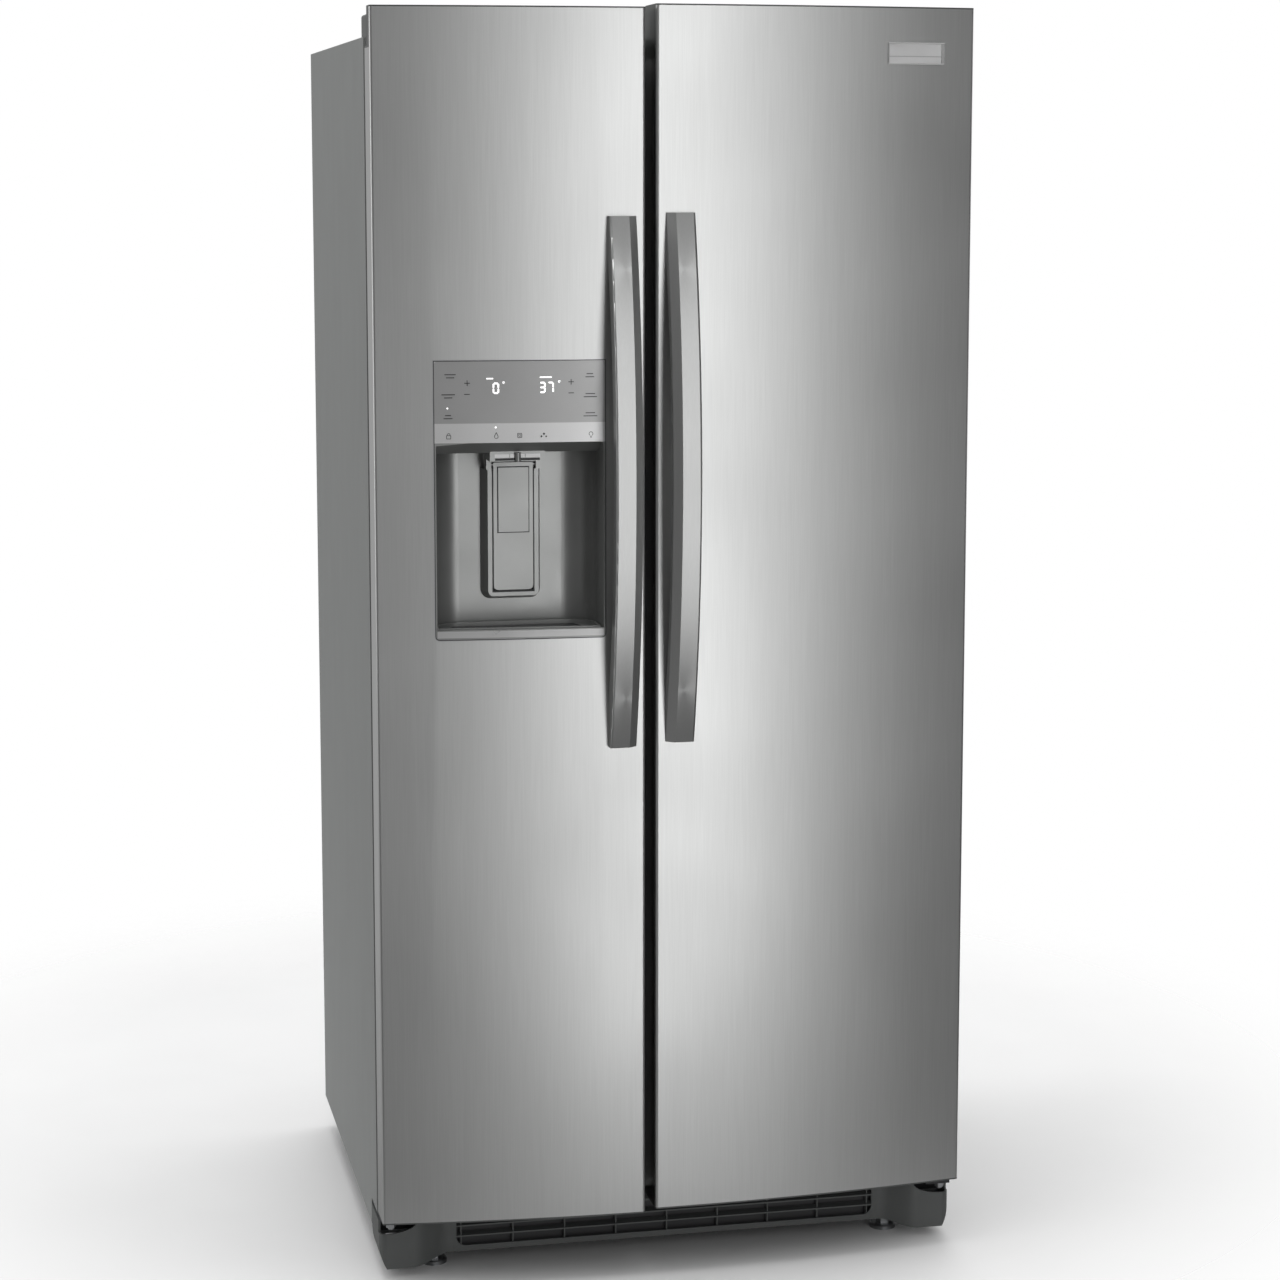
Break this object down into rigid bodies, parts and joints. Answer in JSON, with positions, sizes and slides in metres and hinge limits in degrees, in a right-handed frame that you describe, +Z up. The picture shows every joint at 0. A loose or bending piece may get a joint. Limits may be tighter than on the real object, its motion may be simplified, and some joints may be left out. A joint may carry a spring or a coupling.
{
  "type": "side by side refrigerator",
  "caption": "Tall two-door stainless refrigerator with bowed bar handles and an ice and water dispenser in the left door.",
  "frame": {"origin": "on the floor, under the middle of the whole refrigerator's box", "axes": "+Z up, -Y towards the front of the doors, +X to the right of a person facing the doors"},
  "size_m": [0.838, 0.8159, 1.772],
  "materials": {
    "stainless": "vertical brushed grain, satin",
    "steel_trim": "fine brushed, satin",
    "side_paint": "textured grey paint",
    "dark_trim": "fine grain moulded",
    "grey_trim": "moulded, satin",
    "panel": "gloss",
    "white_plastic": "moulded, smooth",
    "clear_plastic": "clear",
    "foam": "closed-cell foam",
    "seal": "soft grey",
    "zinc": "zinc plated",
    "black_steel": "satin black",
    "coil_metal": "mill finish",
    "nylon": "matte",
    "shelf": "tempered glass with moulded frame"
  },
  "bodies": {
    "cabinet": {"side_panel_left": "side_paint", "side_panel_right": "side_paint", "top_panel": "side_paint", "rear_panel": "zinc", "base_frame": "zinc", "cabinet_foam": "foam", "freezer_liner": "white_plastic", "fridge_liner": "white_plastic", "machine_cover": "black_steel", "top_hinges": "zinc", "hinge_covers": "dark_trim", "bottom_hinges": "black_steel", "toe_grille": "dark_trim", "compressor": "black_steel", "condenser_coil": "black_steel", "condenser_fan_shroud": "nylon", "drain_pan": "nylon", "water_valve": "white_plastic", "power_inlet": "nylon", "evaporator_coil": "coil_metal", "evaporator_cover": "white_plastic", "ice_maker": "grey_trim", "freezer_shelves": "white_plastic", "fridge_shelves": "shelf", "crisper_cover": "white_plastic", "water_filter": "white_plastic"},
    "freezer_door": {"freezer_door_skin": "stainless", "freezer_door_foam": "foam", "freezer_door_liner": "white_plastic", "freezer_door_gasket": "seal", "freezer_door_caps": "dark_trim", "freezer_handle": "steel_trim", "freezer_door_bins": "clear_plastic", "dispenser_housing": "grey_trim", "control_panel": "panel", "ice_chute": "grey_trim"},
    "fridge_door": {"fridge_door_skin": "stainless", "fridge_door_foam": "foam", "fridge_door_liner": "white_plastic", "fridge_door_gasket": "seal", "fridge_door_caps": "dark_trim", "fridge_handle": "steel_trim", "fridge_door_bins": "clear_plastic", "name_plate": "steel_trim"},
    "front_rollers": {"front_rollers": "nylon"},
    "rear_rollers": {"rear_rollers": "nylon"},
    "levelling_leg_left": {"levelling_leg_left": "zinc"},
    "levelling_leg_right": {"levelling_leg_right": "zinc"},
    "condenser_fan": {"condenser_fan": "nylon"},
    "evaporator_fan": {"evaporator_fan": "white_plastic"},
    "ice_bin": {"ice_bin": "clear_plastic"},
    "ice_auger": {"ice_auger": "zinc"},
    "lower_basket": {"lower_basket": "white_plastic"},
    "upper_basket": {"upper_basket": "white_plastic"},
    "lower_crisper": {"lower_crisper": "clear_plastic"},
    "upper_crisper": {"upper_crisper": "clear_plastic"},
    "dispenser_paddle": {"dispenser_paddle": "grey_trim"},
    "chute_flap": {"chute_flap": "dark_trim"},
    "drip_tray": {"drip_tray": "grey_trim"},
    "dairy_lid": {"dairy_lid": "clear_plastic"}
  },
  "joints": [
    {"name": "freezer_door_hinge", "type": "hinge", "parent": "cabinet", "child": "freezer_door", "pos_m": [-0.403, -0.286, 0.9], "axis": [0, 0, -1], "range_deg": [0, 110]},
    {"name": "fridge_door_hinge", "type": "hinge", "parent": "cabinet", "child": "fridge_door", "pos_m": [0.403, -0.286, 0.9], "axis": [0, 0, 1], "range_deg": [0, 110]},
    {"name": "lower_basket_slide", "type": "slide", "parent": "cabinet", "child": "lower_basket", "axis": [0, -1, 0], "range_m": [0, 0.2309]},
    {"name": "upper_basket_slide", "type": "slide", "parent": "cabinet", "child": "upper_basket", "axis": [0, -1, 0], "range_m": [0, 0.2309]},
    {"name": "ice_bin_slide", "type": "slide", "parent": "cabinet", "child": "ice_bin", "axis": [0, -1, 0], "range_m": [0, 0.1347]},
    {"name": "lower_crisper_slide", "type": "slide", "parent": "cabinet", "child": "lower_crisper", "axis": [0, -1, 0], "range_m": [0, 0.2309]},
    {"name": "upper_crisper_slide", "type": "slide", "parent": "cabinet", "child": "upper_crisper", "axis": [0, -1, 0], "range_m": [0, 0.2309]},
    {"name": "ice_auger_spin", "type": "hinge", "parent": "ice_bin", "child": "ice_auger", "pos_m": [-0.22275, 0, 1.33], "axis": [0, 1, 0], "continuous": true},
    {"name": "evaporator_fan_spin", "type": "hinge", "parent": "cabinet", "child": "evaporator_fan", "pos_m": [-0.2245, 0.296, 0.93], "axis": [0, 1, 0], "continuous": true},
    {"name": "condenser_fan_spin", "type": "hinge", "parent": "cabinet", "child": "condenser_fan", "pos_m": [0.02, 0.28, 0.15], "axis": [1, 0, 0], "continuous": true},
    {"name": "front_roller_spin", "type": "hinge", "parent": "cabinet", "child": "front_rollers", "pos_m": [0, -0.17, 0.022], "axis": [1, 0, 0], "continuous": true},
    {"name": "rear_roller_spin", "type": "hinge", "parent": "cabinet", "child": "rear_rollers", "pos_m": [0, 0.35, 0.022], "axis": [1, 0, 0], "continuous": true},
    {"name": "levelling_leg_left_turn", "type": "hinge", "parent": "cabinet", "child": "levelling_leg_left", "pos_m": [-0.335, -0.228, 0.02], "axis": [0, 0, 1], "continuous": true},
    {"name": "levelling_leg_right_turn", "type": "hinge", "parent": "cabinet", "child": "levelling_leg_right", "pos_m": [0.335, -0.228, 0.02], "axis": [0, 0, 1], "continuous": true},
    {"name": "paddle_hinge", "type": "hinge", "parent": "freezer_door", "child": "dispenser_paddle", "pos_m": [-0.22275, -0.281, 1.15], "axis": [1, 0, 0], "range_deg": [0, 5], "stiffness_Nm_per_rad": 2, "springref_deg": -5.73},
    {"name": "chute_flap_hinge", "type": "hinge", "parent": "freezer_door", "child": "chute_flap", "pos_m": [-0.22275, -0.2915, 1.168], "axis": [-1, 0, 0], "range_deg": [0, 55]},
    {"name": "drip_tray_lift", "type": "slide", "parent": "freezer_door", "child": "drip_tray", "axis": [0, 0, 1], "range_m": [0, 0.03]},
    {"name": "dairy_lid_hinge", "type": "hinge", "parent": "fridge_door", "child": "dairy_lid", "pos_m": [0.183, -0.24, 1.59], "axis": [-1, 0, 0], "range_deg": [0, 60]}
  ],
  "couplings": [
    {"joint": "lower_basket_slide", "follows": "freezer_door_hinge", "m_per_rad": 0.12},
    {"joint": "upper_basket_slide", "follows": "freezer_door_hinge", "m_per_rad": 0.12},
    {"joint": "ice_bin_slide", "follows": "freezer_door_hinge", "m_per_rad": 0.07},
    {"joint": "lower_crisper_slide", "follows": "fridge_door_hinge", "m_per_rad": 0.12},
    {"joint": "upper_crisper_slide", "follows": "fridge_door_hinge", "m_per_rad": 0.12},
    {"joint": "chute_flap_hinge", "follows": "paddle_hinge", "ratio": 10}
  ]
}
